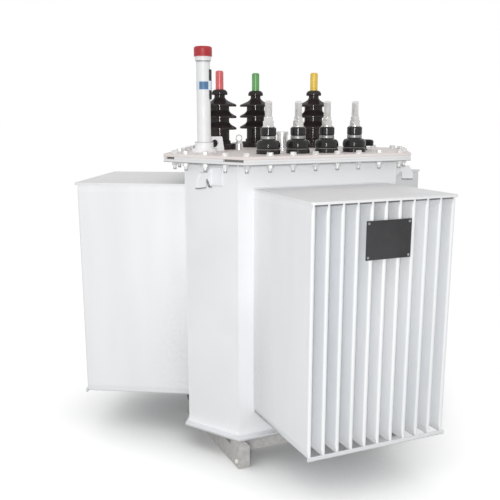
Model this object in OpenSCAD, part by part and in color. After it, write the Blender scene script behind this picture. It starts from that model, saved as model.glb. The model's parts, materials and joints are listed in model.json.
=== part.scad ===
// Oil-immersed distribution transformer with a three-sided tank.
// Three long walls carry banks of cooling fins and three narrow walls close the corners.
// Origin: on the floor under the middle of the outline. The front fin bank faces -Y, +Z is up.

/* [Tank] */
// Distance from the tank's axis to the outside of a long wall
tank_long = 315; // [302:1:335]
// Distance to the corner walls as a share of the distance to the long walls
corner_share = 1.3605; // [1.33:0.0005:1.39]
// Height of the tank walls
tank_h = 970; // [940:1:1100]
// Thickness of the tank walls
wall_t = 6; // [4:0.5:10]
// Thickness of the bottom plate
bottom_t = 10; // [6:1:16]
// How far the bottom plate reaches past the front wall
bottom_front = 37; // [20:1:42]
// How far the bottom plate reaches past the two other long walls
bottom_side = 10; // [6:1:20]
// How far the bottom plate reaches past the corner walls
bottom_corner = 33; // [20:1:42]

/* [Flange and cover] */
// How far flange and cover reach past the long walls
rim_long = 71; // [64:1:77]
// How far flange and cover reach past the corner walls
rim_corner = 45; // [42:1:55]
// Thickness of the flange bars
flange_t = 10; // [8:1:14]
// Height of the gap between flange and cover
gasket_t = 8; // [5:0.5:12]
// Width of the strips that close this gap at the rim
strip_w = 12; // [8:1:16]
// Length of the strips at the corner walls
corner_strip_len = 212; // [160:1:240]
// How far the corner strips lie off the middle
corner_strip_off = 18; // [0:1:25]
// Thickness of the cover
cover_t = 10; // [8:1:16]

/* [Fin banks] */
// Number of fins in a bank
fin_count = 11; // [7:1:13]
// Distance from the outermost fins to the ends of the long wall
bank_margin = 56.4; // [35:0.1:75]
// Thickness of a fin
fin_t = 13; // [10:0.5:18]
// How far a fin reaches out from the wall
fin_depth = 409; // [310:1:430]
// Distance from the flange down to the plate on a bank
bank_gap = 82; // [60:1:160]
// Height of the fins' lower ends above the bottom plate
fin_lift = 78; // [50:1:95]
// Height of the pressed end where a fin narrows
pinch_h = 24; // [15:1:50]
// Thickness of a fin at its pressed ends
pinch_t = 5; // [3:0.5:8]
// Thickness of the plate on a bank
bank_top_t = 8; // [6:1:12]
// How far that plate reaches past the fins' tips
bank_top_reach = 10; // [8:1:18]
// How far that plate reaches past the outermost fins
bank_top_side = 3; // [1:1:8]
// Rounding of that plate's outer corners
bank_top_round = 12; // [5:1:25]
// Height of the bar that ties the fins' lower tips
tie_h = 14; // [10:1:24]
// Thickness of the tie bar
tie_t = 6; // [3:0.5:7]
// How far the tie bar hangs below the fins
tie_drop = 6; // [3:1:8]
// How far the tie bar reaches past the outermost fins
tie_side = 3; // [1:1:8]

/* [Base] */
// How far the skids' outsides lie past the long walls' distance from the axis
skid_reach = 33; // [20:1:45]
// Height of the channel sections
channel_h = 80; // [70:1:110]
// Width of the channel sections
channel_w = 43; // [40:1:50]
// Thickness of the channels' webs
web_t = 5; // [4:0.5:7]
// Thickness of the channels' flanges
channel_flange_t = 8; // [6:0.5:10]
// How far the skids' front ends reach past the front wall
skid_nose = 78; // [68:1:108]
// Length of the skids
skid_len = 543; // [520:1:580]
// Distance from the skids' front ends to the front cross channel
beam_front = 125; // [95:1:150]
// Distance from the skids' rear ends to the rear cross channel
beam_rear = 48; // [44:1:100]
// Diameter of the foundation holes
anchor_d = 14; // [10:0.5:18]
// Distance from a skid's web to its foundation holes
anchor_gauge = 25; // [20:0.5:28]
// Distance from a skid's ends to its foundation holes
anchor_inset = 42; // [35:1:55]
// Thickness of the plates that close a skid's ends
skid_end_t = 5; // [3:0.5:8]

/* [Lifting hooks] */
// How far a hook reaches out from the wall
hook_reach = 74; // [64:1:90]
// Height of the wall weld of a hook
hook_h = 70; // [62:1:80]
// Distance from the flange down to a hook
hook_drop = 12; // [10:1:20]
// Thickness of a hook
hook_t = 12; // [8:1:18]
// Height of the notch that holds the sling
hook_notch_h = 30; // [24:1:36]
// Width of a hook's nose
hook_nose = 42; // [34:1:46]
// Width of the pad behind a hook
hook_pad_w = 100; // [60:1:130]
// Thickness of the pad behind a hook
hook_pad_t = 6; // [4:0.5:8]
// Height of the pad's lower edge above the hook's nose
hook_pad_lift = 8; // [0:1:12]

/* [High-voltage bushings] */
// Distance from a long wall's outside in to a bushing's axis
hv_inset = 80; // [72:1:92]
// Radius of a bushing's foot
hv_foot_r = 60; // [52:1:62]
// Height of the foot
hv_foot_h = 22; // [16:1:28]
// Radius of the step on the foot
hv_step_r = 41; // [38:1:46]
// Height of that step
hv_step_h = 13; // [8:1:18]
// Radius of the porcelain body
hv_body_r = 36; // [32:0.5:37]
// Radius of a shed
hv_shed_r = 64; // [54:1:66]
// Height of the lowest shed's underside above the cover
hv_shed_z = 74; // [66:1:80]
// Distance from one shed to the next
hv_shed_pitch = 43; // [40:0.5:46]
// Height of a shed's sloping top
hv_shed_slope = 21; // [14:1:24]
// Height of the uppermost shed's sloping top
hv_crown_slope = 26; // [18:1:30]
// Thickness of a shed's edge
hv_shed_edge = 9; // [6:0.5:11]
// Radius of the neck
hv_neck_r = 20; // [16:0.5:24]
// Height of the cap's underside above the cover
hv_cap_z = 203; // [198:1:215]
// Radius of the cap
hv_cap_r = 30; // [27:0.5:33]
// Height of the cap
hv_cap_h = 20; // [14:1:24]
// Radius of the coloured sleeve
hv_sleeve_r = 15; // [11:0.5:17]
// Length of the coloured sleeve
hv_sleeve_h = 69; // [55:1:85]

/* [Low-voltage bushings] */
// Distance from one bushing to the next
lv_pitch = 114.5; // [106:0.5:118]
// Distance from the front wall's outside in to the row
lv_inset = 65; // [58:1:76]
// Radius of the foot ring
lv_foot_r = 41.5; // [38:0.5:46]
// Height of the foot ring
lv_foot_h = 14; // [10:1:18]
// Radius of the shed
lv_shed_r = 41.5; // [38:0.5:46]
// Height of the shed
lv_shed_h = 34; // [28:1:38]
// Radius of the neck above the shed
lv_neck_r = 25; // [22:0.5:26]
// Height of the neck above the shed
lv_neck_h = 13; // [9:1:18]
// Radius of the collar
lv_collar_r = 27; // [26.5:0.5:31]
// Height of the collar
lv_collar_h = 28; // [22:1:36]
// Radius of the terminal's washer
washer_r = 21; // [20:0.5:24]
// Thickness of the washer
washer_h = 4; // [2:0.5:6]
// Width of the terminal's nut across its flats
nut_w = 35; // [30:0.5:36]
// Height of the nut
nut_h = 18; // [14:0.5:22]
// Width of the lock nut across its flats
lock_w = 29; // [27:0.5:31]
// Height of the lock nut
lock_h = 13; // [9:0.5:16]
// Radius of the terminal's stud
stud_r = 12; // [9:0.5:13]
// Length of the stud above the nuts
stud_h = 54; // [40:1:70]

/* [Oil filler tube] */
// Distance from the left wall's outside in to the tube's axis
tube_inset = 51.5; // [48:0.1:58]
// How far the tube stands off the left wall's middle
tube_off = 199.6; // [192:0.1:206]
// Outside radius of the tube
tube_r = 24.5; // [20:0.5:26]
// Height of the tube above the cover
tube_h = 330; // [310:1:370]
// Radius of the foot flange
tube_foot_r = 45; // [38:1:47]
// Height of the foot flange
tube_foot_h = 12; // [8:1:16]
// Radius of the collar on the foot
tube_collar_r = 33; // [30:1:36]
// Height of this collar
tube_collar_h = 21; // [14:1:26]
// Radius of the rim under the cap
tube_rim_r = 28.5; // [27:0.5:30]
// Height of the rim
tube_rim_h = 15; // [10:1:20]
// Radius of the cap
cap_r = 32; // [30:0.5:36]
// Height of the cap
cap_h = 34; // [28:1:42]
// Rounding of the cap's edge
cap_round = 8; // [3:0.5:12]
// Distance from the tube's rim down to the level gauge
gauge_drop = 29; // [15:1:60]
// Length of the level gauge
gauge_h = 103; // [80:1:110]
// Width of the level gauge
gauge_w = 16; // [12:1:22]
// How far the level gauge stands out of the tube
gauge_out = 4; // [3:0.5:8]

/* [Cover fittings] */
// Radius of the thermometer well
well_r = 22.5; // [16:0.5:25]
// Distance from the front wall's outside in to the thermometer well
well_inset = 237; // [228:1:246]
// How far the thermometer well stands to the left of the middle
well_off = 33; // [28:1:38]
// Height of the thermometer well
well_h = 70; // [50:1:80]
// Radius of the relief valve
relief_r = 15; // [12:0.5:18]
// Distance from the left wall's outside in to the relief valve
relief_inset = 157.4; // [150:0.1:166]
// How far the relief valve stands off the left wall's middle
relief_off = 31; // [24:1:38]
// Height of the relief valve's body
relief_h = 31; // [25:1:40]
// Radius of the pull ring's bend
ring_r = 12; // [9:0.5:15]
// Thickness of the pull ring
ring_d = 4; // [3:0.5:5]
// Length of the cover lug
lug_w = 62; // [54:1:66]
// Distance from the left wall's outside in to the cover lug
lug_inset = 83.1; // [79:0.1:89]
// How far the cover lug stands off the left wall's middle
lug_off = 122.3; // [118:0.1:126]
// How far the cover lug's hole lies off its middle
lug_hole_off = 6; // [0:0.5:8]
// Height of the cover lug
lug_h = 52; // [46:1:60]
// How far the cover lug's ends lean in towards its top
lug_lean = 8; // [4:0.5:10]
// Thickness of the cover lug
lug_t = 12; // [8:1:16]
// Diameter of the cover lug's hole
lug_hole_d = 28; // [20:1:30]
// Radius of the tap changer's knob
knob_r = 34.5; // [28:0.5:38]
// Distance from the right corner wall's outside in to the knob
knob_inset = 112.9; // [106:0.1:120]
// How far the knob stands off the right corner wall's middle
knob_off = -2.6; // [-10:0.1:6]
// Height of the tap changer's knob
knob_h = 39; // [32:1:46]
// Height of the knob's underside above the cover
knob_lift = 16; // [12:1:20]
// Radius of the knob's stem
stem_r = 8; // [6:0.5:12]

/* [Nameplate] */
// Width of the nameplate
plate_w = 162; // [120:1:180]
// Height of the nameplate
plate_h = 120; // [90:1:140]
// Thickness of the nameplate
plate_t = 2; // [1:0.5:3]
// Distance from the fins' upper ends down to the nameplate's middle
plate_drop = 117; // [95:1:150]
// How far the nameplate lies to the right of the bank's middle
plate_off = 6.5; // [0:0.5:10]
// How far the bracket stays inside the nameplate's edges
bracket_inset = 6; // [3:0.5:12]
// Thickness of the bracket
bracket_t = 4; // [2:0.5:5]

/* [Hidden] */
$fn = 64;
cut = 1;

// How far each side is turned about Z from the front.
front_turn = 0;
left_turn = -120;
right_turn = 120;
left_corner_turn = -60;
right_corner_turn = 60;
rear_corner_turn = 180;
long_turns = [front_turn, right_turn, left_turn];
corner_turns = [left_corner_turn, right_corner_turn, rear_corner_turn];

tank_corner = tank_long * corner_share;
wall_z = channel_h + bottom_t;
rim_z = wall_z + tank_h;
flange_z = rim_z - flange_t;
cover_z = rim_z + gasket_t;
cover_top = cover_z + cover_t;

fin_z = wall_z + fin_lift;
fin_top = flange_z - bank_gap - bank_top_t;
fin_h = fin_top - fin_z;
fin_tip = tank_long + fin_depth;
bank_half = (tank_corner - tank_long * sin(30)) / cos(30) - bank_margin;
fin_pitch = (2 * bank_half - fin_t) / (fin_count - 1);
top_half = bank_half + bank_top_side;
top_tip = fin_tip + bank_top_reach;

// The tank's axis is set back so that the origin is the middle of the outline.
rear_reach = max(
  (top_tip - bank_top_round) * sin(30) + (top_half - bank_top_round) * cos(30) + bank_top_round,
  (fin_tip + tie_t) * sin(30) + (bank_half + tie_side) * cos(30)
);
axis_y = (top_tip - rear_reach) / 2;

skid_x = tank_long + skid_reach;
skid_front = tank_long + skid_nose;
skid_rear = skid_len - skid_front;
skid_in = skid_x - channel_w;
lv_top = lv_foot_h + lv_shed_h + lv_neck_h + lv_collar_h;
hv_top = hv_cap_z + hv_cap_h;
hv_ring = tank_long - hv_inset;
lv_row = tank_long - lv_inset;
plate_z = fin_top - plate_drop;
gauge_z = tube_h - tube_rim_h - gauge_drop - gauge_h;
gauge_turn = -36;
red_turn = left_turn;
green_turn = rear_corner_turn;
yellow_turn = right_turn;

// Outlines given as the distances to the long sides and to the corner sides.
wall_out = [tank_long, tank_corner];
wall_in = [tank_long - wall_t, tank_corner - wall_t];
rim_out = [tank_long + rim_long, tank_corner + rim_corner];
rim_in = [rim_out[0] - strip_w, rim_out[1] - strip_w];

white = [0.91, 0.92, 0.93];
grey = [0.55, 0.54, 0.52];
black = [0.10, 0.09, 0.09];
glaze = [0.14, 0.10, 0.10];
metal = [0.78, 0.78, 0.76];

// Half the length of a long side and of a corner side of an outline.
function long_half(o) = (o[1] - o[0] * sin(30)) / cos(30);
function corner_half(o) = (o[0] - o[1] * sin(30)) / cos(30);
function turned(p, t) = [p.x * cos(t) - p.y * sin(t), p.x * sin(t) + p.y * cos(t)];
function six_points(o) = [
  for (t = long_turns, s = [-1, 1]) turned([s * long_half(o), -o[0]], t)
];

// The bottom plate's outline at a long side. It reaches further past the front wall.
function bottom_out(t) = [
  tank_long + (t == front_turn ? bottom_front : bottom_side), tank_corner + bottom_corner
];
bottom_points = [
  for (t = long_turns, s = [-1, 1]) turned([s * long_half(bottom_out(t)), -bottom_out(t)[0]], t)
];

module on_axis() {
  translate([0, axis_y, 0]) children();
}

module side(turn) {
  on_axis() rotate([0, 0, turn]) children();
}

// A mitred slab along a long side, between two outlines.
module long_slab(inner, outer, z, h) {
  translate([0, 0, z]) linear_extrude(h) polygon([
    [-long_half(outer), -outer[0]], [long_half(outer), -outer[0]],
    [long_half(inner), -inner[0]], [-long_half(inner), -inner[0]]
  ]);
}

// The same along a corner side.
module corner_slab(inner, outer, z, h) {
  translate([0, 0, z]) linear_extrude(h) polygon([
    [-corner_half(outer), -outer[1]], [corner_half(outer), -outer[1]],
    [corner_half(inner), -inner[1]], [-corner_half(inner), -inner[1]]
  ]);
}

module long_wall(turn) {
  color(white) side(turn) long_slab(wall_in, wall_out, wall_z, tank_h);
}

module corner_wall(turn) {
  color(white) side(turn) corner_slab(wall_in, wall_out, wall_z, tank_h);
}

module front_wall() { long_wall(front_turn); }
module left_wall() { long_wall(left_turn); }
module right_wall() { long_wall(right_turn); }
module left_corner_wall() { corner_wall(left_corner_turn); }
module right_corner_wall() { corner_wall(right_corner_turn); }
module rear_corner_wall() { corner_wall(rear_corner_turn); }

module tank_bottom() {
  color(white) on_axis() translate([0, 0, channel_h]) linear_extrude(bottom_t)
    polygon(bottom_points);
}

module long_flange_bars() {
  color(white) for (t = long_turns) side(t) long_slab(wall_out, rim_out, flange_z, flange_t);
}

module corner_flange_bars() {
  color(white) for (t = corner_turns)
    side(t) corner_slab(wall_out, rim_out, flange_z, flange_t);
}

module cover_gasket() {
  color(black) on_axis() translate([0, 0, rim_z]) linear_extrude(gasket_t) difference() {
    polygon(six_points(rim_in));
    polygon(six_points(wall_in));
  }
}

// Strips between flange and cover, flush with the rim. Those at the corners are shorter.
module rim_strips() {
  color(white) {
    for (t = long_turns) side(t) long_slab(rim_in, rim_out, rim_z, gasket_t);
    for (t = corner_turns) side(t)
      translate([-corner_strip_off - corner_strip_len / 2, -rim_out[1], rim_z])
        cube([corner_strip_len, strip_w, gasket_t]);
  }
}

module cover() {
  color(white) on_axis() translate([0, 0, cover_z]) linear_extrude(cover_t)
    polygon(six_points(rim_out));
}

// One fin: a flat panel with a rounded tip, narrowed at its pressed upper and lower ends.
module fin() {
  intersection() {
    translate([0, 0, fin_z]) linear_extrude(fin_h) union() {
      translate([-fin_t / 2, fin_t / 2 - fin_tip]) square([fin_t, fin_depth - fin_t / 2]);
      translate([0, fin_t / 2 - fin_tip]) circle(d = fin_t);
    }
    rotate([90, 0, 0]) linear_extrude(fin_tip + cut) polygon([
      [-pinch_t / 2, fin_z], [pinch_t / 2, fin_z],
      [fin_t / 2, fin_z + pinch_h], [fin_t / 2, fin_top - pinch_h],
      [pinch_t / 2, fin_top], [-pinch_t / 2, fin_top],
      [-fin_t / 2, fin_top - pinch_h], [-fin_t / 2, fin_z + pinch_h]
    ]);
  }
}

module fin_bank(turn) {
  color(white) side(turn) for (i = [0 : fin_count - 1])
    translate([(i - (fin_count - 1) / 2) * fin_pitch, 0, 0]) fin();
}

module front_fins() { fin_bank(front_turn); }
module left_fins() { fin_bank(left_turn); }
module right_fins() { fin_bank(right_turn); }

// The plate on a bank: square at the wall, rounded at its two outer corners.
module bank_top(turn) {
  r = bank_top_round;
  color(white) side(turn) translate([0, 0, fin_top]) linear_extrude(bank_top_t) union() {
    translate([-top_half, r - top_tip]) square([2 * top_half, top_tip - r - tank_long]);
    translate([r - top_half, -top_tip]) square([2 * (top_half - r), r]);
    for (s = [-1, 1]) translate([s * (top_half - r), r - top_tip]) circle(r = r);
  }
}

module front_bank_top() { bank_top(front_turn); }
module left_bank_top() { bank_top(left_turn); }
module right_bank_top() { bank_top(right_turn); }

module tie_bar(turn) {
  half = bank_half + tie_side;
  color(white) side(turn) translate([-half, -fin_tip - tie_t, fin_z - tie_drop])
    cube([2 * half, tie_t, tie_h]);
}

module front_tie_bar() { tie_bar(front_turn); }
module left_tie_bar() { tie_bar(left_turn); }
module right_tie_bar() { tie_bar(right_turn); }

// A channel's section, with its web at x = 0 and its flanges towards +X.
module channel_section() {
  difference() {
    square([channel_w, channel_h]);
    translate([web_t, channel_flange_t]) square([channel_w, channel_h - 2 * channel_flange_t]);
  }
}

// A channel with closed ends and holes in its lower flange.
module skid() {
  on_axis() difference() {
    union() {
      translate([-skid_x, skid_rear, 0]) rotate([90, 0, 0])
        linear_extrude(skid_rear + skid_front) channel_section();
      for (y = [-skid_front, skid_rear - skid_end_t])
        translate([-skid_x, y, 0]) cube([channel_w, skid_end_t, channel_h]);
    }
    for (y = [anchor_inset - skid_front, skid_rear - anchor_inset])
      translate([anchor_gauge - skid_x, y, -cut]) cylinder(d = anchor_d, h = channel_flange_t + 2 * cut);
  }
}

module left_skid() { color(grey) skid(); }
module right_skid() { color(grey) mirror([1, 0, 0]) skid(); }

module cross_channels() {
  color(grey) on_axis() for (y = [beam_front - skid_front, skid_rear - beam_rear - channel_w])
    translate([-skid_in, y, 0]) rotate([90, 0, 90]) linear_extrude(2 * skid_in) channel_section();
}

// A hook on a corner wall: its nose points down and the notch behind it holds the sling.
module lifting_hook(turn) {
  base = flange_z - hook_drop - hook_h;
  peak = hook_reach - hook_nose;
  side(turn) translate([0, -tank_corner, base]) union() {
    translate([-hook_t / 2, 0, 0]) rotate([90, 0, 90]) linear_extrude(hook_t) polygon([
      [0, 0], [-hook_pad_t, 0], [-peak * 0.72, hook_notch_h], [-peak * 0.9, hook_notch_h],
      [-peak, hook_notch_h * 0.8], [-peak, 0], [-hook_reach, 0], [-hook_reach, hook_h * 0.35],
      [-hook_reach * 0.78, hook_h * 0.75], [-peak * 0.7, hook_h * 0.75], [-hook_pad_t, hook_h], [0, hook_h]
    ]);
    translate([-hook_pad_w / 2, -hook_pad_t, hook_pad_lift])
      cube([hook_pad_w, hook_pad_t, hook_h - hook_pad_lift]);
  }
}

module lifting_hooks() {
  color(white) for (t = corner_turns) lifting_hook(t);
}

// A place on the cover, given in the frame of one of the tank's sides.
module at_cover(turn, off, out) {
  p = turned([off, -out], turn);
  on_axis() translate([p.x, p.y, cover_top]) children();
}

module at_tube() {
  at_cover(left_turn, tube_off, tank_long - tube_inset) children();
}

module at_hv(turn) {
  at_cover(turn, 0, hv_ring) children();
}

// Outline points of one shed: a flat underside and a blunt edge.
function shed(z) = [
  [hv_body_r, z], [hv_shed_r - 2, z], [hv_shed_r, z + 2],
  [hv_shed_r, z + hv_shed_edge - 3], [hv_shed_r - 3, z + hv_shed_edge]
];

// The hollow curve from a shed's edge up to the stem above it: shares of its width and its height.
function shed_slope(z, stem_r, rise) = [
  for (s = [[0.6, 0.26], [0.32, 0.46], [0.14, 0.66], [0.04, 0.85], [0, 1]])
    [stem_r + s[0] * (hv_shed_r - 3 - stem_r), z + hv_shed_edge + s[1] * rise]
];

module hv_bushing(turn) {
  z1 = hv_shed_z;
  z2 = hv_shed_z + hv_shed_pitch;
  z3 = hv_shed_z + 2 * hv_shed_pitch;
  color(glaze) at_hv(turn) rotate_extrude() polygon(concat(
    [
      [0, 0], [hv_foot_r, 0], [hv_foot_r, hv_foot_h - 4], [hv_foot_r - 4, hv_foot_h],
      [hv_step_r, hv_foot_h], [hv_step_r, hv_foot_h + hv_step_h - 4],
      [hv_body_r, hv_foot_h + hv_step_h]
    ],
    shed(z1), shed_slope(z1, hv_body_r, hv_shed_slope),
    shed(z2), shed_slope(z2, hv_body_r, hv_shed_slope),
    shed(z3), shed_slope(z3, hv_neck_r, hv_crown_slope),
    [
      [hv_neck_r, hv_cap_z], [hv_cap_r - 2, hv_cap_z],
      [hv_cap_r, hv_cap_z + 2], [hv_cap_r, hv_cap_z + hv_cap_h * 0.4],
      [hv_cap_r - 2, hv_cap_z + hv_cap_h * 0.65], [hv_cap_r - 6, hv_cap_z + hv_cap_h * 0.87],
      [hv_cap_r - 12, hv_top], [0, hv_top]
    ]
  ));
}

module hv_sleeve(turn, tint) {
  color(tint) at_hv(turn) translate([0, 0, hv_top]) rotate_extrude() polygon([
    [0, 0], [hv_sleeve_r, 0], [hv_sleeve_r, hv_sleeve_h - 4],
    [hv_sleeve_r - 4, hv_sleeve_h], [0, hv_sleeve_h]
  ]);
}

module hv_bushing_red() { hv_bushing(red_turn); }
module hv_bushing_green() { hv_bushing(green_turn); }
module hv_bushing_yellow() { hv_bushing(yellow_turn); }
module hv_sleeve_red() { hv_sleeve(red_turn, "red"); }
module hv_sleeve_green() { hv_sleeve(green_turn, "green"); }
module hv_sleeve_yellow() { hv_sleeve(yellow_turn, "gold"); }

module at_lv(i) {
  at_cover(front_turn, (i - 1.5) * lv_pitch, lv_row) children();
}

module lv_bushing(i) {
  shed_top = lv_foot_h + lv_shed_h;
  collar_z = shed_top + lv_neck_h;
  color(black) at_lv(i) rotate_extrude() polygon([
    [0, 0], [lv_foot_r, 0], [lv_foot_r, lv_foot_h - 2], [lv_foot_r - 2, lv_foot_h],
    [lv_shed_r - 5, lv_foot_h], [lv_shed_r - 5, lv_foot_h + 3],
    [lv_shed_r - 2, lv_foot_h + 4], [lv_shed_r, lv_foot_h + 8], [lv_shed_r, shed_top - 14],
    [lv_shed_r - 2, shed_top - 8], [lv_shed_r - 6, shed_top - 3], [lv_neck_r + 3, shed_top],
    [lv_neck_r, shed_top + 2], [lv_neck_r, collar_z],
    [lv_collar_r, collar_z + 3], [lv_collar_r, lv_top - 3], [lv_collar_r - 3, lv_top], [0, lv_top]
  ]);
}

module lv_bushing_a() { lv_bushing(0); }
module lv_bushing_b() { lv_bushing(1); }
module lv_bushing_c() { lv_bushing(2); }
module lv_bushing_d() { lv_bushing(3); }

// A washer, a nut and a lock nut with the round stud standing out of them.
module lv_terminal() {
  cylinder(r = washer_r, h = washer_h);
  translate([0, 0, washer_h]) cylinder(r = nut_w / 2 / cos(30), h = nut_h, $fn = 6);
  translate([0, 0, washer_h + nut_h]) cylinder(r = lock_w / 2 / cos(30), h = lock_h, $fn = 6);
  translate([0, 0, washer_h + nut_h + lock_h]) rotate_extrude() polygon([
    [0, 0], [stud_r, 0], [stud_r, stud_h - 4], [stud_r - 1.5, stud_h - 1.5], [stud_r - 4, stud_h], [0, stud_h]
  ]);
}

module lv_terminals() {
  color(metal) for (i = [0 : 3]) at_lv(i) translate([0, 0, lv_top]) lv_terminal();
}

module filler_tube() {
  color(white) at_tube() rotate_extrude() polygon([
    [0, 0], [tube_foot_r, 0], [tube_foot_r, tube_foot_h], [tube_collar_r, tube_foot_h],
    [tube_collar_r, tube_foot_h + tube_collar_h], [tube_r, tube_foot_h + tube_collar_h],
    [tube_r, tube_h - tube_rim_h], [tube_rim_r, tube_h - tube_rim_h], [tube_rim_r, tube_h], [0, tube_h]
  ]);
}

module filler_cap() {
  color("firebrick") at_tube() translate([0, 0, tube_h]) rotate_extrude() union() {
    square([cap_r, cap_h - cap_round]);
    square([cap_r - cap_round, cap_h]);
    translate([cap_r - cap_round, cap_h - cap_round]) intersection() {
      circle(r = cap_round);
      square(cap_round);
    }
  }
}

// The gauge's back is cut to the tube's round.
module level_gauge() {
  color(black) at_tube() translate([0, 0, gauge_z]) rotate([0, 0, gauge_turn])
    difference() {
      translate([0, -gauge_w / 2, 0]) cube([tube_r + gauge_out, gauge_w, gauge_h]);
      translate([0, 0, -cut]) cylinder(r = tube_r, h = gauge_h + 2 * cut);
    }
}

module thermometer_well() {
  head = 12;
  foot = 8;
  color(white) at_cover(front_turn, -well_off, tank_long - well_inset) rotate_extrude() polygon([
    [0, 0], [well_r + 8, 0], [well_r + 8, foot], [well_r - 3, foot], [well_r - 3, well_h - head],
    [well_r, well_h - head], [well_r, well_h - 3], [well_r - 3, well_h], [0, well_h]
  ]);
}

// The valve's body with its pull ring set into the top.
module relief_valve() {
  color(metal) at_cover(left_turn, relief_off, tank_long - relief_inset) {
    rotate_extrude() polygon([
      [0, 0], [relief_r, 0], [relief_r, relief_h - 8], [relief_r - 5, relief_h], [0, relief_h]
    ]);
    translate([0, 0, relief_h + ring_r]) rotate([90, 0, 0]) rotate_extrude()
      translate([ring_r, 0]) circle(d = ring_d);
  }
}

// An upright ear on the cover with a hole for a shackle.
module cover_lug() {
  hole_z = lug_h / 2 + 1;
  color(white) at_cover(left_turn, lug_off, tank_long - lug_inset)
    translate([0, lug_t / 2, 0]) rotate([90, 0, 0]) linear_extrude(lug_t) difference() {
      polygon([
        [-lug_w / 2, 0], [lug_w / 2, 0],
        [lug_w / 2 - lug_lean, lug_h - 2], [lug_w / 2 - lug_lean - 2, lug_h],
        [lug_lean + 2 - lug_w / 2, lug_h], [lug_lean - lug_w / 2, lug_h - 2]
      ]);
      translate([-lug_hole_off, hole_z]) circle(d = lug_hole_d);
    }
}

module tap_changer_knob() {
  color(black) at_cover(right_corner_turn, knob_off, tank_corner - knob_inset) rotate_extrude() polygon([
    [0, 0], [stem_r + 3, 0], [stem_r + 3, 3], [stem_r, 5], [stem_r, knob_lift], [knob_r - 3, knob_lift],
    [knob_r, knob_lift + 3], [knob_r, knob_h - 6], [knob_r - 5, knob_h - 1], [knob_r - 12, knob_h], [0, knob_h]
  ]);
}

module nameplate_bracket() {
  w = plate_w - 2 * bracket_inset;
  h = plate_h - 2 * bracket_inset;
  color(white) on_axis() translate([plate_off - w / 2, -fin_tip - bracket_t, plate_z - h / 2])
    cube([w, bracket_t, h]);
}

module nameplate() {
  color([0.25, 0.25, 0.25]) on_axis()
    translate([plate_off - plate_w / 2, -fin_tip - bracket_t - plate_t, plate_z - plate_h / 2])
      cube([plate_w, plate_t, plate_h]);
}

front_wall();
left_wall();
right_wall();
left_corner_wall();
right_corner_wall();
rear_corner_wall();
tank_bottom();
long_flange_bars();
corner_flange_bars();
cover_gasket();
rim_strips();
cover();
front_fins();
left_fins();
right_fins();
front_bank_top();
left_bank_top();
right_bank_top();
front_tie_bar();
left_tie_bar();
right_tie_bar();
left_skid();
right_skid();
cross_channels();
lifting_hooks();
hv_bushing_red();
hv_bushing_green();
hv_bushing_yellow();
hv_sleeve_red();
hv_sleeve_green();
hv_sleeve_yellow();
lv_bushing_a();
lv_bushing_b();
lv_bushing_c();
lv_bushing_d();
lv_terminals();
filler_tube();
filler_cap();
level_gauge();
thermometer_well();
relief_valve();
cover_lug();
tap_changer_knob();
nameplate_bracket();
nameplate();
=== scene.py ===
"""Looks of the three-sided distribution transformer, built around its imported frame."""
import json
import math

import bmesh
import bpy
from mathutils import Matrix, Vector


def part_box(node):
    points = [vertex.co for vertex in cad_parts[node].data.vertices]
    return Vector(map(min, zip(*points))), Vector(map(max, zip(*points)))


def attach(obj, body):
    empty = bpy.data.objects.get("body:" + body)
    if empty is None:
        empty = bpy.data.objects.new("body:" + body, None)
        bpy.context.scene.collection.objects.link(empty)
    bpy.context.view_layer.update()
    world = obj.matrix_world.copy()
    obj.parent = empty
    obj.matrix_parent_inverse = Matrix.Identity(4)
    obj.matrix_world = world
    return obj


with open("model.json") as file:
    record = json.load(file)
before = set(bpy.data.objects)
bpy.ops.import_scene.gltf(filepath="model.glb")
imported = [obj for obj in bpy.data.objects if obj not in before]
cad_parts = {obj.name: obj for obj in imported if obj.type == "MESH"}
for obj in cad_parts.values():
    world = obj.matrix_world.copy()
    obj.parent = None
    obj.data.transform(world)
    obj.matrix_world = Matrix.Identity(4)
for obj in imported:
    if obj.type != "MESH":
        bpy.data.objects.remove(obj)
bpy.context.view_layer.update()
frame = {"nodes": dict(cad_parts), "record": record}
nodes = frame["nodes"]
MM = 0.001


# Places read from the frame
def middle(node):
    """Middle of a node's box."""
    low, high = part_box(node)
    return (low + high) / 2


# The green bushing stands twice as far behind the tank's axis as the red one.
AXIS_Y = 2 * middle("hv_bushing_red").y - middle("hv_bushing_green").y
COVER_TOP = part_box("cover")[1].z
FLANGE_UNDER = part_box("long_flange_bars")[0].z
WALL_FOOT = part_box("front_wall")[0].z
LONG_WALL = AXIS_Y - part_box("front_wall")[0].y
CORNER_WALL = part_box("rear_corner_wall")[1].y - AXIS_Y
RIM_LONG = AXIS_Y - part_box("cover")[0].y
RIM_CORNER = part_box("cover")[1].y - AXIS_Y
TIE_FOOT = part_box("front_tie_bar")[0].z
BASE_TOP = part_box("left_skid")[1].z
BASE_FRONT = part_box("left_skid")[0].y
HOOK_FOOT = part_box("lifting_hooks")[0].z
FIN_TIP = AXIS_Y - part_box("front_fins")[0].y
FIN_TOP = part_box("front_fins")[1].z
FIN_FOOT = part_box("front_fins")[0].z
BANK_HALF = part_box("front_fins")[1].x
BANK_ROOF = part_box("front_bank_top")[1].z

# Half widths of the tank's two kinds of side, whose normals lie 60 degrees apart
COS_30 = math.cos(math.radians(30))
HALF_LONG = (CORNER_WALL - LONG_WALL * 0.5) / COS_30
HALF_CORNER = (LONG_WALL - CORNER_WALL * 0.5) / COS_30
LONG_SIDES = (0.0, -120.0, 120.0)
CORNER_SIDES = (-60.0, 60.0, 180.0)

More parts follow.
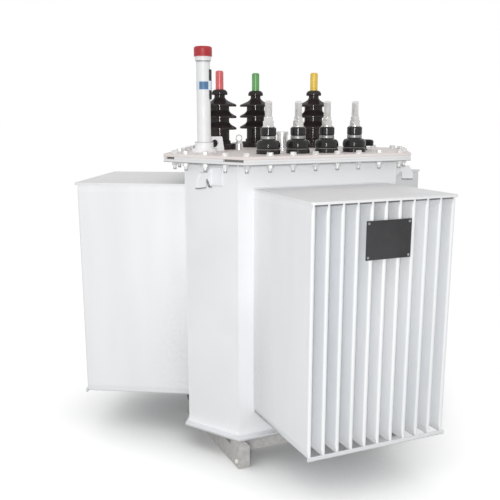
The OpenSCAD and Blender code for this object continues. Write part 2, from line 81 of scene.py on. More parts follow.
# Sizes within a node, as in the part's source
FIN_COUNT = 11
FIN_T = 13 * MM
FIN_PITCH = (2 * BANK_HALF - FIN_T) / (FIN_COUNT - 1)
TUBE_R = 24.5 * MM
TUBE_NECK = COVER_TOP + 315 * MM
COLLAR_TOP = COVER_TOP + 33 * MM
GAUGE_OUT, GAUGE_HALF = 4 * MM, 8 * MM


def side_place(turn):
    """Matrix of a tank side's own frame: local -Y points out of that side."""
    return Matrix.Translation((0, AXIS_Y, 0)) @ Matrix.Rotation(math.radians(turn), 4, "Z")


# Mesh tools
BEAD_STEP = 6 * MM


def ring_points(radius, z, count):
    """Points of a round ring at one height."""
    angles = [2 * math.pi * i / count for i in range(count)]
    return [(radius * math.cos(a), radius * math.sin(a), z) for a in angles]


def add_rings(bm, rings, place):
    """Skins a stack of rings that have the same number of points, and closes both ends."""
    made = [[bm.verts.new(place @ Vector(p)) for p in ring] for ring in rings]
    count = len(made[0])
    for low, high in zip(made, made[1:]):
        for i in range(count):
            j = (i + 1) % count
            bm.faces.new((low[i], low[j], high[j], high[i]))
    bm.faces.new(list(reversed(made[0])))
    bm.faces.new(made[-1])


def add_lathe(bm, profile, place, count):
    """Turns (radius, height) pairs about local Z."""
    add_rings(bm, [ring_points(r, z, count) for r, z in profile], place)


def add_hex(bm, across, low, high, place, chamfer, both=False):
    """A hexagon block, rounded off at its upper end as bolt heads are, or at both ends as nuts are."""
    radius = across / math.sqrt(3)
    if both:
        rings = [ring_points(radius - chamfer, low, 6), ring_points(radius, low + 0.5 * chamfer, 6)]
    else:
        rings = [ring_points(radius, low, 6)]
    rings += [ring_points(radius, high - 0.5 * chamfer, 6), ring_points(radius - chamfer, high, 6)]
    add_rings(bm, rings, place)


def add_block(bm, low, high, place, soft):
    """A box between two corners with its upright edges and rims cut back by soft."""
    x0, y0, z0 = low
    x1, y1, z1 = high

    def outline(cut, z):
        return [
            (x0 + soft, y0 + cut, z), (x1 - soft, y0 + cut, z),
            (x1 - cut, y0 + soft, z), (x1 - cut, y1 - soft, z),
            (x1 - soft, y1 - cut, z), (x0 + soft, y1 - cut, z),
            (x0 + cut, y1 - soft, z), (x0 + cut, y0 + soft, z),
        ]

    rim = 0.6 * soft
    levels = ((rim, z0), (0, z0 + soft), (0, z1 - soft), (rim, z1))
    add_rings(bm, [outline(cut, z) for cut, z in levels], place)


def add_bead(bm, start, end, normal_a, normal_b, size, place):
    """A weld bead laid along a line in the corner between two faces with these normals."""
    start, end = Vector(start), Vector(end)
    a, b = Vector(normal_a), Vector(normal_b)
    parts = max(1, round((end - start).length / BEAD_STEP))
    rows = []
    for i in range(parts + 1):
        swell = size * (1.0 + 0.10 * math.sin(2.4 * i) + 0.06 * math.sin(5.1 * i + 1.0))
        at = start.lerp(end, i / parts)
        rows.append([at - 0.2 * size * (a + b), at + a * swell, at + 0.62 * swell * (a + b), at + b * swell])
    add_rings(bm, rows, place)


def piece(name, bm, material, sharp=35.0):
    """Turns the built mesh into a named piece that rides with the part."""
    bmesh.ops.recalc_face_normals(bm, faces=bm.faces)
    mesh = bpy.data.meshes.new(name)
    bm.to_mesh(mesh)
    bm.free()
    for polygon in mesh.polygons:
        polygon.use_smooth = True
    mesh.set_sharp_from_angle(angle=math.radians(sharp))
    mesh.materials.append(material)
    obj = bpy.data.objects.new(name, mesh)
    bpy.context.scene.collection.objects.link(obj)
    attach(obj, "root")


# Material tools
TONE_SPAN = (0.34, 0.66)
NOISE_SPAN = (0.3, 0.7)
GRAIN_SCALE = 60.0
BUMP_DEPTH = 0.4 * MM
COAT_ROUGHNESS = 0.08
# Painted shade: scale of its patchy noise, and the least share of it that stays
SHADE_NOISE_SCALE = 90
SHADE_LEAST_SHARE = 0.7


def linear(colour):
    """8-bit screen colour to linear light."""
    shares = [c / 255 for c in colour]
    return [s / 12.92 if s <= 0.04045 else ((s + 0.055) / 1.055) ** 2.4 for s in shares]


def stretch_map(tree, value, from_min, from_max, to_min, to_max):
    """A clamped linear map of one socket."""
    made = tree.nodes.new("ShaderNodeMapRange")
    made.inputs["From Min"].default_value = from_min
    made.inputs["From Max"].default_value = from_max
    made.inputs["To Min"].default_value = to_min
    made.inputs["To Max"].default_value = to_max
    tree.links.new(value, made.inputs["Value"])
    return made.outputs["Result"]


def combine(tree, operation, a, b):
    """One maths node of two sockets."""
    made = tree.nodes.new("ShaderNodeMath")
    made.operation = operation
    tree.links.new(a, made.inputs[0])
    tree.links.new(b, made.inputs[1])
    return made.outputs["Value"]


def finish(name, dark, light, rough, metallic=0.0, patch=3.0, peel=350.0, bump=0.06, coat=0.0,
           stretch=(1, 1, 1), specular=0.5):
    """A surface with patchy colour between two tones, uneven roughness and a fine bump."""
    material = bpy.data.materials.new(name)
    material.use_nodes = True
    tree = material.node_tree
    shader = tree.nodes["Principled BSDF"]
    shader.inputs["Metallic"].default_value = metallic
    shader.inputs["Coat Weight"].default_value = coat
    shader.inputs["Coat Roughness"].default_value = COAT_ROUGHNESS
    shader.inputs["Specular IOR Level"].default_value = specular
    where = tree.nodes.new("ShaderNodeTexCoord")
    mapping = tree.nodes.new("ShaderNodeMapping")
    mapping.inputs["Scale"].default_value = stretch
    tree.links.new(where.outputs["Object"], mapping.inputs["Vector"])

    def noise(scale, detail):
        made = tree.nodes.new("ShaderNodeTexNoise")
        made.inputs["Scale"].default_value = scale
        made.inputs["Detail"].default_value = detail
        tree.links.new(mapping.outputs["Vector"], made.inputs["Vector"])
        return made.outputs["Fac"]

    ramp = tree.nodes.new("ShaderNodeValToRGB")
    for stop, at, colour in zip(ramp.color_ramp.elements, TONE_SPAN, (dark, light)):
        stop.position = at
        stop.color = (*linear(colour), 1)
    tree.links.new(noise(patch, 4), ramp.inputs["Fac"])
    tree.links.new(ramp.outputs["Color"], shader.inputs["Base Color"])
    grain = stretch_map(tree, noise(GRAIN_SCALE, 3), *NOISE_SPAN, *rough)
    tree.links.new(grain, shader.inputs["Roughness"])
    relief = tree.nodes.new("ShaderNodeBump")
    relief.inputs["Strength"].default_value = bump
    relief.inputs["Distance"].default_value = BUMP_DEPTH
    tree.links.new(noise(peel, 2), relief.inputs["Height"])
    tree.links.new(relief.outputs["Normal"], shader.inputs["Normal"])
    return material


def measure(tree, where, axis):
    """A socket that grows along a world axis, out from the tank's middle, or with the surface's tilt."""
    if axis == "out":
        flat = tree.nodes.new("ShaderNodeVectorMath")
        flat.operation = "MULTIPLY"
        tree.links.new(where.outputs["Position"], flat.inputs[0])
        flat.inputs[1].default_value = (1, 1, 0)
        away = tree.nodes.new("ShaderNodeVectorMath")
        away.operation = "DISTANCE"
        tree.links.new(flat.outputs["Vector"], away.inputs[0])
        away.inputs[1].default_value = (0, AXIS_Y, 0)
        return away.outputs["Value"]
    source, part = ("Normal", "Z") if axis == "tilt" else ("Position", axis)
    split = tree.nodes.new("ShaderNodeSeparateXYZ")
    tree.links.new(where.outputs[source], split.inputs["Vector"])
    return split.outputs[part]


# Painted shade: darkens the base colour in bands where shade falls, in place of shade from the lamps
def paint_shade(material, stretches, colour, share):
    """Paints shade into a material where these stretches overlap, none at each first end, full at each
    second.
    """
    tree = material.node_tree
    shader = tree.nodes["Principled BSDF"]
    before = shader.inputs["Base Color"].links[0].from_socket
    where = tree.nodes.new("ShaderNodeNewGeometry")
    cloud = tree.nodes.new("ShaderNodeTexNoise")
    cloud.inputs["Scale"].default_value = SHADE_NOISE_SCALE
    tree.links.new(where.outputs["Position"], cloud.inputs["Vector"])
    amount = stretch_map(tree, cloud.outputs["Fac"], *NOISE_SPAN, SHADE_LEAST_SHARE * share, share)
    for axis, unshaded, shaded in stretches:
        ramp = stretch_map(tree, measure(tree, where, axis), unshaded, shaded, 0, 1)
        amount = combine(tree, "MULTIPLY", amount, ramp)
    blend = tree.nodes.new("ShaderNodeMix")
    blend.data_type = "RGBA"
    tree.links.new(amount, blend.inputs["Factor"])
    tree.links.new(before, blend.inputs["A"])
    blend.inputs["B"].default_value = (*linear(colour), 1)
    tree.links.new(blend.outputs["Result"], shader.inputs["Base Color"])


# Paint of the tank, the rim and the cover
SATIN = (0.42, 0.55)
TANK_TONES = ((240, 241, 243), (247, 248, 250))
TANK = finish("tank_paint", *TANK_TONES, SATIN)
WALL = finish("wall_paint", *TANK_TONES, SATIN)
# Painted shadow on the walls just under the flange
paint_shade(WALL, [("Z", FLANGE_UNDER - 10 * MM, FLANGE_UNDER - 4 * MM)], (104, 106, 109), 0.9)
BOTTOM = finish("bottom_paint", *TANK_TONES, SATIN)
# Painted shade at the bottom plate's lower edge: a faint grey band, then a darker line where it meets the
# base
paint_shade(BOTTOM, [("Z", BASE_TOP + 9.6 * MM, BASE_TOP + 7 * MM)], (202, 203, 205), 0.9)
paint_shade(BOTTOM, [("Z", BASE_TOP + 4 * MM, BASE_TOP + 1 * MM)], (140, 141, 143), 0.8)
HOOK = finish("hook_paint", (238, 239, 241), (246, 247, 249), SATIN)
# Painted shade on the hooks: a shadow line at the nose's foot, and darker on faces that turn downward
paint_shade(HOOK, [("Z", HOOK_FOOT + 6 * MM, HOOK_FOOT + 3 * MM)], (70, 70, 72), 0.9)
paint_shade(HOOK, [("tilt", -0.2, -0.45)], (84, 84, 86), 0.9)
RIM = finish("rim_paint", (230, 230, 231), (238, 238, 239), SATIN)
# Painted shade along the flange's lower edge
paint_shade(RIM, [("Z", FLANGE_UNDER + 3.5 * MM, FLANGE_UNDER + 1 * MM)], (120, 121, 123), 0.85)
COVER = finish("cover_paint", (231, 221, 217), (238, 230, 227), SATIN)
GASKET = finish("gasket_rubber", (118, 117, 116), (140, 139, 138), (0.7, 0.85), patch=30)

# Paint of the finned banks, with painted shade at the fins' feet, in the front bank's low gaps and low near
# the wall
FIN_SATIN = (0.40, 0.52)
FOOT_SHADE = (132, 134, 137)
FIN_ENDS = ("Z", FIN_FOOT + 16 * MM, FIN_FOOT + 5 * MM)
IN_GAPS = ("out", 0.62, 0.45)
FRONT_BANK = ("Y", -0.15, -0.22)
NEAR_WALL = ("out", 0.56, 0.41)
LOW_DOWN = ("Z", 0.80, 0.35)
FINS = finish("fin_paint", (242, 244, 246), (252, 253, 254), FIN_SATIN, patch=5, stretch=(1, 1, 0.14),
              specular=0.3)
# Painted shade along the fins' lower edges
paint_shade(FINS, [("Z", FIN_FOOT + 4 * MM, FIN_FOOT + 1 * MM)], FOOT_SHADE, 0.45)
# Painted shade low in the front bank's gaps, deepening in towards the wall
paint_shade(FINS, [FIN_ENDS, IN_GAPS, FRONT_BANK], (90, 92, 95), 0.85)
# Painted shade on the fins near the wall, growing towards the bottom
paint_shade(FINS, [NEAR_WALL, LOW_DOWN], (190, 192, 195), 0.5)
TIE = finish("tie_paint", (228, 230, 232), (238, 239, 241), FIN_SATIN)
# Painted shade along the tie bars' lower edges
paint_shade(TIE, [("Z", TIE_FOOT + 4 * MM, TIE_FOOT + 1 * MM)], FOOT_SHADE, 0.5)
BANK_TOP = finish("bank_top_paint", (241, 241, 242), (248, 248, 249), SATIN)
# Dark paint for the strips that stand for the shadow under the banks' top plates
LIP_SHADOW = finish("lip_shadow_paint", (92, 94, 97), (120, 122, 124), (0.7, 0.85), patch=20)

# Steel of the base, with painted shade under the tank's bottom plate
BARE_STEEL = (0.5, 0.68)
BASE = finish("base_steel", (187, 185, 182), (204, 202, 199), BARE_STEEL, patch=60, bump=0.2)
# Painted shade along the skids' tops behind their front ends, under the bottom plate
paint_shade(BASE, [("Z", BASE_TOP - 18 * MM, BASE_TOP - 12 * MM), ("Y", BASE_FRONT + 62 * MM, BASE_FRONT + 84 * MM)],
     (64, 63, 62), 0.9)
# A lighter copy of the base steel, painted light against the shade under the bottom plate, with painted shade
# along the tops
CHANNEL_LIT_STEEL = finish("channel_lit_steel", (208, 207, 205), (226, 225, 223), BARE_STEEL, patch=60, bump=0.2)
paint_shade(CHANNEL_LIT_STEEL, [("Z", BASE_TOP - 20 * MM, BASE_TOP - 13 * MM)], (78, 77, 76), 0.85)

# Bushings, sleeves and terminals
SLEEVE_GLOSS = (0.22, 0.32)
HV = finish("hv_glaze", (48, 42, 42), (60, 53, 52), (0.11, 0.18), patch=14, peel=120, bump=0.02, coat=0.34,
            specular=0.0)
LV = finish("lv_glaze", (36, 35, 35), (48, 46, 46), (0.10, 0.18), patch=16, peel=160, bump=0.02, coat=0.15,
            specular=0.2)
RED = finish("sleeve_red", (216, 94, 96), (234, 114, 114), SLEEVE_GLOSS, patch=20)
GREEN = finish("sleeve_green", (90, 162, 90), (110, 182, 104), SLEEVE_GLOSS, patch=20)
YELLOW = finish("sleeve_yellow", (236, 196, 58), (248, 211, 80), SLEEVE_GLOSS, patch=20)
TINNED = finish("tinned_metal", (206, 205, 203), (226, 225, 223), (0.14, 0.24), metallic=0.85, patch=25,
                bump=0.03)
SEAT = finish("seat_cork", (118, 116, 114), (142, 140, 138), (0.6, 0.75), patch=60)

# Filler tube and its fittings, with a line of painted shade at the tube's neck, under the cap's rim
TUBE = finish("tube_paint", (242, 243, 244), (248, 248, 249), (0.34, 0.46), patch=12)
# Painted shade in a thin band at the tube's neck
paint_shade(TUBE, [("Z", TUBE_NECK - 7 * MM, TUBE_NECK - 1 * MM), ("Z", TUBE_NECK + 1.5 * MM, TUBE_NECK + 0.5 * MM)],
     (120, 120, 121), 0.8)
CAP = finish("cap_red", (172, 38, 46), (192, 52, 58), (0.36, 0.5), patch=20)
BLACK = finish("gauge_black", (16, 16, 17), (26, 26, 27), (0.35, 0.5), patch=30, specular=0.15)
# Grey paint for the ring that stands for the shade line at the tube's collar
COLLAR_SHADE = finish("collar_shade_paint", (196, 196, 196), (212, 212, 211), (0.45, 0.6), patch=40)
BLUE = finish("label_blue", (78, 120, 160), (96, 138, 176), (0.4, 0.5), patch=30)
PAPER = finish("label_paper", (222, 232, 242), (236, 243, 249), (0.5, 0.6), patch=30)

# Other fittings and fasteners
VALVE = finish("valve_metal", (206, 206, 205), (228, 228, 227), (0.2, 0.34), metallic=0.6, patch=40)
BRACKET = finish("bracket_paint", (224, 225, 227), (236, 237, 238), SATIN)
PLATE = finish("plate_dark", (38, 38, 40), (50, 50, 52), (0.45, 0.6), patch=10, bump=0.1)
ZINC = finish("bolt_zinc", (222, 222, 221), (238, 238, 236), (0.3, 0.45), metallic=0.2, patch=50)
# Painted shade on the bolts' lower ends under the flange
paint_shade(ZINC, [("Z", FLANGE_UNDER - 19 * MM, FLANGE_UNDER - 25 * MM)], (96, 96, 97), 0.85)
EARTH = finish("earth_zinc", (232, 232, 230), (246, 246, 244), (0.35, 0.5), patch=50)
STEEL = finish("screw_steel", (142, 142, 142), (166, 166, 165), (0.3, 0.45), metallic=0.4, patch=60)

# Materials of the frame's nodes: by slot, apart from some nodes that have their own
BY_SLOT = {
    "tank_paint": TANK, "cover_paint": COVER, "gasket_rubber": GASKET, "fin_paint": FINS,
    "bank_top_paint": BANK_TOP, "base_steel": BASE, "hv_glaze": HV, "sleeve_red": RED, "sleeve_green": GREEN,
    "sleeve_yellow": YELLOW, "lv_glaze": LV, "tinned_metal": TINNED, "tube_paint": TUBE, "cap_red": CAP,
    "gauge_black": BLACK, "valve_metal": VALVE, "bracket_paint": BRACKET, "plate_dark": PLATE,
}
BY_NODE = {
    "lifting_hooks": HOOK, "cross_channels": CHANNEL_LIT_STEEL, "tank_bottom": BOTTOM, "rim_strips": RIM,
    "long_flange_bars": RIM, "corner_flange_bars": RIM,
}
for side in ("front", "left", "right", "left_corner", "right_corner", "rear_corner"):
    BY_NODE[side + "_wall"] = WALL
for side in ("front", "left", "right"):
    BY_NODE[side + "_tie_bar"] = TIE
for row in frame["record"]["subparts"]:
    node = nodes[row["node"]]
    node.data.materials.clear()
    node.data.materials.append(BY_NODE.get(row["node"], BY_SLOT[row["material_slot"]]))

# Steel edges are slightly rounded.
EDGE_R, PLATE_EDGE_R = 1.4 * MM, 0.6 * MM
EDGE_ANGLE = math.radians(40)
WELD_REACH = 0.01 * MM
ROUNDED = (
    "cover", "front_bank_top", "left_bank_top", "right_bank_top", "left_skid", "right_skid", "cross_channels",
    "lifting_hooks", "lv_terminals", "nameplate", "nameplate_bracket", "long_flange_bars",
    "corner_flange_bars", "rim_strips", "tank_bottom", "level_gauge", "cover_lug", "front_tie_bar",
    "left_tie_bar", "right_tie_bar",
)
for name in ROUNDED:
    weld = nodes[name].modifiers.new("weld", "WELD")
    weld.merge_threshold = WELD_REACH
    bevel = nodes[name].modifiers.new("bevel", "BEVEL")
    bevel.width = PLATE_EDGE_R if name == "nameplate" else EDGE_R
    bevel.segments = 2
    bevel.limit_method = "ANGLE"
    bevel.angle_limit = EDGE_ANGLE
    bevel.harden_normals = True

# Cover bolts: washer and head on the cover, washer, nut and the shank's end under the flange
LONG_BOLTS = [side * x * MM for x in (42.7, 128.0, 213.5, 298.0) for side in (-1, 1)]
CORNER_BOLTS = [0.0, -85 * MM, 85 * MM]
LONG_BOLT_INSET, CORNER_BOLT_INSET = 34 * MM, 17 * MM
LONG_BOLT_TWIST, CORNER_BOLT_TWIST = 0.7, 0.9
BOLT_ACROSS, BOLT_CHAMFER, HEAD_TOP = 19 * MM, 1.2 * MM, 11 * MM
TOP_WASHER_R, TOP_WASHER_H = 13.5 * MM, 2.8 * MM
TOP_WASHER_IN, TOP_WASHER_DOWN = 0.7 * MM, 0.6 * MM
LOW_WASHER_R, LOW_WASHER_H, NUT_FOOT = 12.5 * MM, 2.6 * MM, 13 * MM
SHANK_R, SHANK_END_R, SHANK_END, SHANK_POINT = 6 * MM, 4.6 * MM, 27 * MM, 1.4 * MM


def add_cover_bolt(bm, place):
    """One bolt through the cover and the flange, on local Z."""
    top, foot = COVER_TOP, FLANGE_UNDER
    washer = [(TOP_WASHER_R, top), (TOP_WASHER_R, top + TOP_WASHER_H - TOP_WASHER_DOWN),
              (TOP_WASHER_R - TOP_WASHER_IN, top + TOP_WASHER_H)]
    add_lathe(bm, washer, place, 24)
    add_hex(bm, BOLT_ACROSS, top + TOP_WASHER_H, top + HEAD_TOP, place, BOLT_CHAMFER)
    add_lathe(bm, [(LOW_WASHER_R, foot - LOW_WASHER_H), (LOW_WASHER_R, foot)], place, 24)
    add_hex(bm, BOLT_ACROSS, foot - NUT_FOOT, foot - LOW_WASHER_H, place, BOLT_CHAMFER, both=True)
    shank = [(SHANK_END_R, foot - SHANK_END), (SHANK_R, foot - SHANK_END + SHANK_POINT),
             (SHANK_R, foot - NUT_FOOT)]
    add_lathe(bm, shank, place, 16)


def add_bolt_row(bm, turn, places, out, twist):
    """The bolts of one side. Their hexagons stand at different turns, as tightened bolts do."""
    for k, x in enumerate(places):
        at = side_place(turn) @ Matrix.Translation((x, -out, 0))
        add_cover_bolt(bm, at @ Matrix.Rotation(twist * k + turn, 4, "Z"))


bolts = bmesh.new()
for turn in LONG_SIDES:
    add_bolt_row(bolts, turn, LONG_BOLTS, RIM_LONG - LONG_BOLT_INSET, LONG_BOLT_TWIST)
for turn in CORNER_SIDES:
    add_bolt_row(bolts, turn, CORNER_BOLTS, RIM_CORNER - CORNER_BOLT_INSET, CORNER_BOLT_TWIST)
piece("cover_bolts", bolts, ZINC)

# Welds: beads over the banks' tops and round the walls' feet, and rods down the tank's upright edges
BANK_BEAD, FOOT_BEAD = 4 * MM, 5 * MM
ROD_R, ROD_ASIDE, ROD_INWARD = 3.2 * MM, 1.4 * MM, 2.4 * MM
OUTWARD, UPWARD = (0, -1, 0), (0, 0, 1)


def add_level_bead(bm, turn, half, wall, z, size):
    """A bead along one side of the tank, where a level face meets the wall."""
    add_bead(bm, (-half, -wall, z), (half, -wall, z), OUTWARD, UPWARD, size, side_place(turn))


welds = bmesh.new()
for turn in LONG_SIDES:
    add_level_bead(welds, turn, BANK_HALF, LONG_WALL, BANK_ROOF, BANK_BEAD)
    add_level_bead(welds, turn, HALF_LONG, LONG_WALL, WALL_FOOT, FOOT_BEAD)
for turn in CORNER_SIDES:
    add_level_bead(welds, turn, HALF_CORNER, CORNER_WALL, WALL_FOOT, FOOT_BEAD)
for turn in LONG_SIDES:
    for side in (-1, 1):
        edge = Matrix.Translation((side * (HALF_LONG - ROD_ASIDE), ROD_INWARD - LONG_WALL, 0))
        add_lathe(welds, [(ROD_R, WALL_FOOT), (ROD_R, FLANGE_UNDER)], side_place(turn) @ edge, 16)
piece("weld_beads", welds, TANK, 60)

# Nameplate screws
SCREW_INSET = 8 * MM
SCREW_PROFILE = [(r * MM, z * MM) for r, z in ((4.2, -0.5), (4.2, 0.8), (3.2, 2.0), (1.2, 2.5))]
plate_low, plate_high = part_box("nameplate")
screws = bmesh.new()
for x in (plate_low.x + SCREW_INSET, plate_high.x - SCREW_INSET):
    for z in (plate_low.z + SCREW_INSET, plate_high.z - SCREW_INSET):
        out = Matrix.Translation((x, plate_low.y, z)) @ Matrix.Rotation(math.radians(90), 4, "X")
        add_lathe(screws, SCREW_PROFILE, out, 20)
piece("nameplate_screws", screws, STEEL)

# Dark strips under each bank's top plate, one in each gap between two fins: painted shadow of the plate's lip
LIP_SHADOW_SIDE, LIP_SHADOW_NEAR, LIP_SHADOW_FAR = 3.2 * MM, 3 * MM, 5 * MM
LIP_SHADOW_H, LIP_SHADOW_GAP, LIP_SHADOW_SOFT = 6 * MM, 0.2 * MM, 0.4 * MM
lip_shadows = bmesh.new()
for turn in LONG_SIDES:
    for i in range(FIN_COUNT - 1):
        x = (i - (FIN_COUNT - 1) / 2) * FIN_PITCH
        low = (x + LIP_SHADOW_SIDE, LIP_SHADOW_NEAR - FIN_TIP, FIN_TOP - LIP_SHADOW_H)
        high = (x + FIN_PITCH - LIP_SHADOW_SIDE, LIP_SHADOW_FAR - FIN_TIP, FIN_TOP - LIP_SHADOW_GAP)
        add_block(lip_shadows, low, high, side_place(turn), LIP_SHADOW_SOFT)
piece("bank_lip_shadows", lip_shadows, LIP_SHADOW)

# Bare label round the filler tube and its gauge, with a plain blue field
LABEL_LOW, LABEL_HIGH = COVER_TOP + 215 * MM, COVER_TOP + 247 * MM
LABEL_LIFT, LABEL_STEPS = 0.5 * MM, 48
FIELD_TURN = math.radians(-106.963)
FIELD_LIFT, FIELD_INSET = 0.9 * MM, 3 * MM
FIELD_ANGLES = [math.radians(a) for a in range(-38, 39, 4)]
tube_at = middle("filler_tube")
gauge_at = middle("level_gauge")
gauge_turn = math.atan2(gauge_at.y - tube_at.y, gauge_at.x - tube_at.x)


def tube_place(turn):
    """Matrix of the tube's own frame, with local X at this turn."""
    return Matrix.Translation((tube_at.x, tube_at.y, 0)) @ Matrix.Rotation(turn, 4, "Z")


def label_outline():
    """The tube's round with the gauge's box on it, as one outline just outside both."""
    r, out, half = TUBE_R + LABEL_LIFT, TUBE_R + GAUGE_OUT + LABEL_LIFT, GAUGE_HALF + LABEL_LIFT
    edge = math.asin(half / r)
    angles = [edge + (2 * math.pi - 2 * edge) * i / LABEL_STEPS for i in range(LABEL_STEPS + 1)]
    return [(out, -half), (out, half)] + [(r * math.cos(a), r * math.sin(a)) for a in angles]


label = bmesh.new()
label_rings = [[(x, y, z) for x, y in label_outline()] for z in (LABEL_LOW, LABEL_HIGH)]
add_rings(label, label_rings, tube_place(gauge_turn))
piece("tube_label", label, PAPER)

field_low, field_high = LABEL_LOW + FIELD_INSET, LABEL_HIGH - FIELD_INSET
field_in, field_out = TUBE_R, TUBE_R + FIELD_LIFT
field_section = [(field_in, field_low), (field_out, field_low),
                 (field_out, field_high), (field_in, field_high)]
field = bmesh.new()
field_rings = [[(r * math.cos(a), r * math.sin(a), z) for r, z in field_section] for a in FIELD_ANGLES]
add_rings(field, field_rings, tube_place(FIELD_TURN))
piece("tube_label_field", field, BLUE)

# Grey ring at the top of the tube's collar: painted shade for the dark line there
COLLAR_SHADE_PROFILE = [(r * MM, COLLAR_TOP + z * MM) for r, z in ((31.4, -0.4), (33.5, 0), (33.5, 2.2), (32.4, 3))]
collar_shade = bmesh.new()
add_lathe(collar_shade, COLLAR_SHADE_PROFILE, tube_place(gauge_turn), 48)
piece("tube_collar_shade", collar_shade, COLLAR_SHADE)

# Low-voltage bushings: seats under the sheds, neck rings and the studs' threads, in heights over the cover
SEAT_PROFILE = [(r * MM, z * MM) for r, z in ((38.8, 14.1), (39.6, 14.6), (39.6, 16.4), (38.8, 16.9))]
NECK_PROFILE = [(r * MM, z * MM) for r, z in ((25.2, 49.5), (26.4, 51), (26.4, 58.5), (25.2, 60))]
THREAD_ROOT_R, THREAD_CREST_R = 11.9 * MM, 12.7 * MM
THREAD_LOW, THREAD_HIGH, THREAD_PITCH = 126 * MM, 172 * MM, 3 * MM
thread_profile = []
for i in range(round((THREAD_HIGH - THREAD_LOW) / THREAD_PITCH)):
    thread_profile.append((THREAD_ROOT_R, THREAD_LOW + i * THREAD_PITCH))
    thread_profile.append((THREAD_CREST_R, THREAD_LOW + (i + 0.5) * THREAD_PITCH))
thread_profile.append((THREAD_ROOT_R, THREAD_HIGH))

seats = bmesh.new()
necks = bmesh.new()
threads = bmesh.new()
for letter in "abcd":
    at = middle("lv_bushing_" + letter)
    place = Matrix.Translation((at.x, at.y, COVER_TOP))
    add_lathe(seats, SEAT_PROFILE, place, 48)
    add_lathe(necks, NECK_PROFILE, place, 40)
    add_lathe(threads, thread_profile, place, 24)
piece("lv_seats", seats, SEAT)
piece("lv_necks", necks, STEEL)
piece("lv_threads", threads, TINNED)

# Earth bolts on the skids' outer faces
EARTH_FROM_FRONT, EARTH_Z = 14 * MM, 24 * MM
EARTH_WASHER = [(r * MM, z * MM) for r, z in ((8, -0.5), (8, 1.4), (7.4, 1.9))]
EARTH_ACROSS, EARTH_LOW, EARTH_HIGH, EARTH_CHAMFER = 13 * MM, 1.9 * MM, 7.4 * MM, 0.9 * MM
earth = bmesh.new()
for name, side in (("left_skid", -1), ("right_skid", 1)):
    low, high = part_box(name)
    at = (low.x if side < 0 else high.x, low.y + EARTH_FROM_FRONT, EARTH_Z)
    place = Matrix.Translation(at) @ Matrix.Rotation(math.radians(90 * side), 4, "Y")
    add_lathe(earth, EARTH_WASHER, place, 24)
    add_hex(earth, EARTH_ACROSS, EARTH_LOW, EARTH_HIGH, place, EARTH_CHAMFER)
piece("earth_bolts", earth, EARTH)

# Floor and world
FLOOR_CORNERS = [(-40, -40, 0), (40, -40, 0), (40, 60, 0), (-40, 60, 0)]
FLOOR_SEEN, FLOOR_BOUNCE = 0.8, 0.5
FLOOR_GLOW = 0.48
SHADE_REACH, SHADE_SAMPLES = 0.6, 12
SHADE_SPAN = (0.25, 0.80)
WORLD_LIGHT, WORLD_SHOWN = 0.66, 1.0


def mix_seen(tree, unseen, seen, surface):
    """Shows one shader to the eye, to reflections and through glass, and lights the object with the other."""
    path = tree.nodes.new("ShaderNodeLightPath")
    mirrored = combine(tree, "MAXIMUM", path.outputs["Is Glossy Ray"], path.outputs["Is Transmission Ray"])
    mix = tree.nodes.new("ShaderNodeMixShader")
    tree.links.new(combine(tree, "MAXIMUM", path.outputs["Is Camera Ray"], mirrored), mix.inputs["Fac"])
    tree.links.new(unseen, mix.inputs[1])
    tree.links.new(seen, mix.inputs[2])
    tree.links.new(mix.outputs["Shader"], surface)


def diffuse(tree, grey):
    """A plain matt shader of one grey."""
    made = tree.nodes.new("ShaderNodeBsdfDiffuse")
    made.inputs["Color"].default_value = (grey, grey, grey, 1)
    return made.outputs["BSDF"]


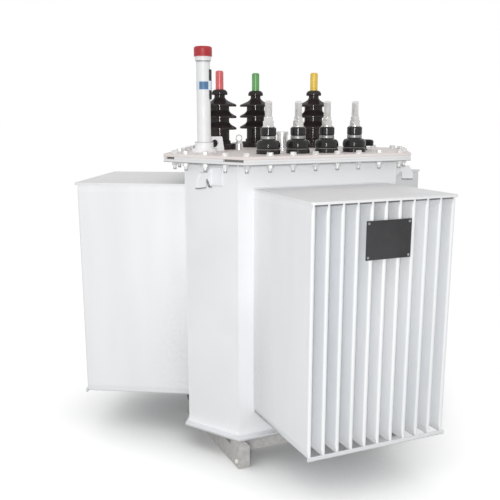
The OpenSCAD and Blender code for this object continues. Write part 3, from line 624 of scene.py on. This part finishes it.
def make_floor():
    """A plain floor that is white where it lies open. Its glow fades where the object stands over it."""
    mesh = bpy.data.meshes.new("floor")
    mesh.from_pydata(FLOOR_CORNERS, [], [(0, 1, 2, 3)])
    floor = bpy.data.objects.new("floor", mesh)
    bpy.context.scene.collection.objects.link(floor)
    paint = bpy.data.materials.new("floor_white")
    paint.use_nodes = True
    tree = paint.node_tree
    tree.nodes.clear()
    out = tree.nodes.new("ShaderNodeOutputMaterial")
    near = tree.nodes.new("ShaderNodeAmbientOcclusion")
    near.samples = SHADE_SAMPLES
    near.inputs["Distance"].default_value = SHADE_REACH
    glow = tree.nodes.new("ShaderNodeEmission")
    strength = stretch_map(tree, near.outputs["AO"], *SHADE_SPAN, 0.0, FLOOR_GLOW)
    tree.links.new(strength, glow.inputs["Strength"])
    both = tree.nodes.new("ShaderNodeAddShader")
    tree.links.new(diffuse(tree, FLOOR_SEEN), both.inputs[0])
    tree.links.new(glow.outputs["Emission"], both.inputs[1])
    mix_seen(tree, diffuse(tree, FLOOR_BOUNCE), both.outputs["Shader"], out.inputs["Surface"])
    mesh.materials.append(paint)


def make_world():
    """An even white studio, plain as a light and white as a background."""
    world = bpy.data.worlds.new("studio")
    bpy.context.scene.world = world
    world.use_nodes = True
    tree = world.node_tree
    tree.nodes.clear()
    out = tree.nodes.new("ShaderNodeOutputWorld")
    skies = []
    for strength in (WORLD_LIGHT, WORLD_SHOWN):
        sky = tree.nodes.new("ShaderNodeBackground")
        sky.inputs["Color"].default_value = (1, 1, 1, 1)
        sky.inputs["Strength"].default_value = strength
        skies.append(sky.outputs["Background"])
    mix_seen(tree, *skies, out.inputs["Surface"])


make_floor()
make_world()


# Lamps
def area_light(name, at, aim, size, power):
    """A rectangular lamp that looks at a point."""
    data = bpy.data.lights.new(name, "AREA")
    data.shape = "RECTANGLE"
    data.size, data.size_y = size
    data.energy = power
    obj = bpy.data.objects.new(name, data)
    bpy.context.scene.collection.objects.link(obj)
    obj.location = at
    obj.rotation_mode = "QUATERNION"
    obj.rotation_quaternion = (Vector(aim) - Vector(at)).to_track_quat("-Z", "Y")


area_light("key", at=(-1.56, -2.90, 1.26), aim=(0, 0, 0.9), size=(0.34, 0.55), power=36)
area_light("left_fill", at=(-3.1, -1.7, 1.7), aim=(-0.3, 0, 0.6), size=(1.2, 1.2), power=3)

# Camera at the photograph's viewing angle
CAMERA_AT = (-1.2700, -2.4935, 1.2221)
CAMERA_YAW, CAMERA_DIP = 0.421, 0.226
camera_data = bpy.data.cameras.new("camera")
camera_data.sensor_width = 36
camera_data.lens = 52.965
camera_data.shift_x, camera_data.shift_y = -0.004, 0.06
camera_data.clip_start, camera_data.clip_end = 0.05, 200
camera = bpy.data.objects.new("camera", camera_data)
camera.location = CAMERA_AT
camera.rotation_euler = (math.pi / 2 - CAMERA_DIP, 0, -CAMERA_YAW)
bpy.context.scene.collection.objects.link(camera)
bpy.context.scene.camera = camera

bpy.context.scene.view_settings.view_transform = "Standard"
bpy.context.scene.cycles.diffuse_bounces = 10
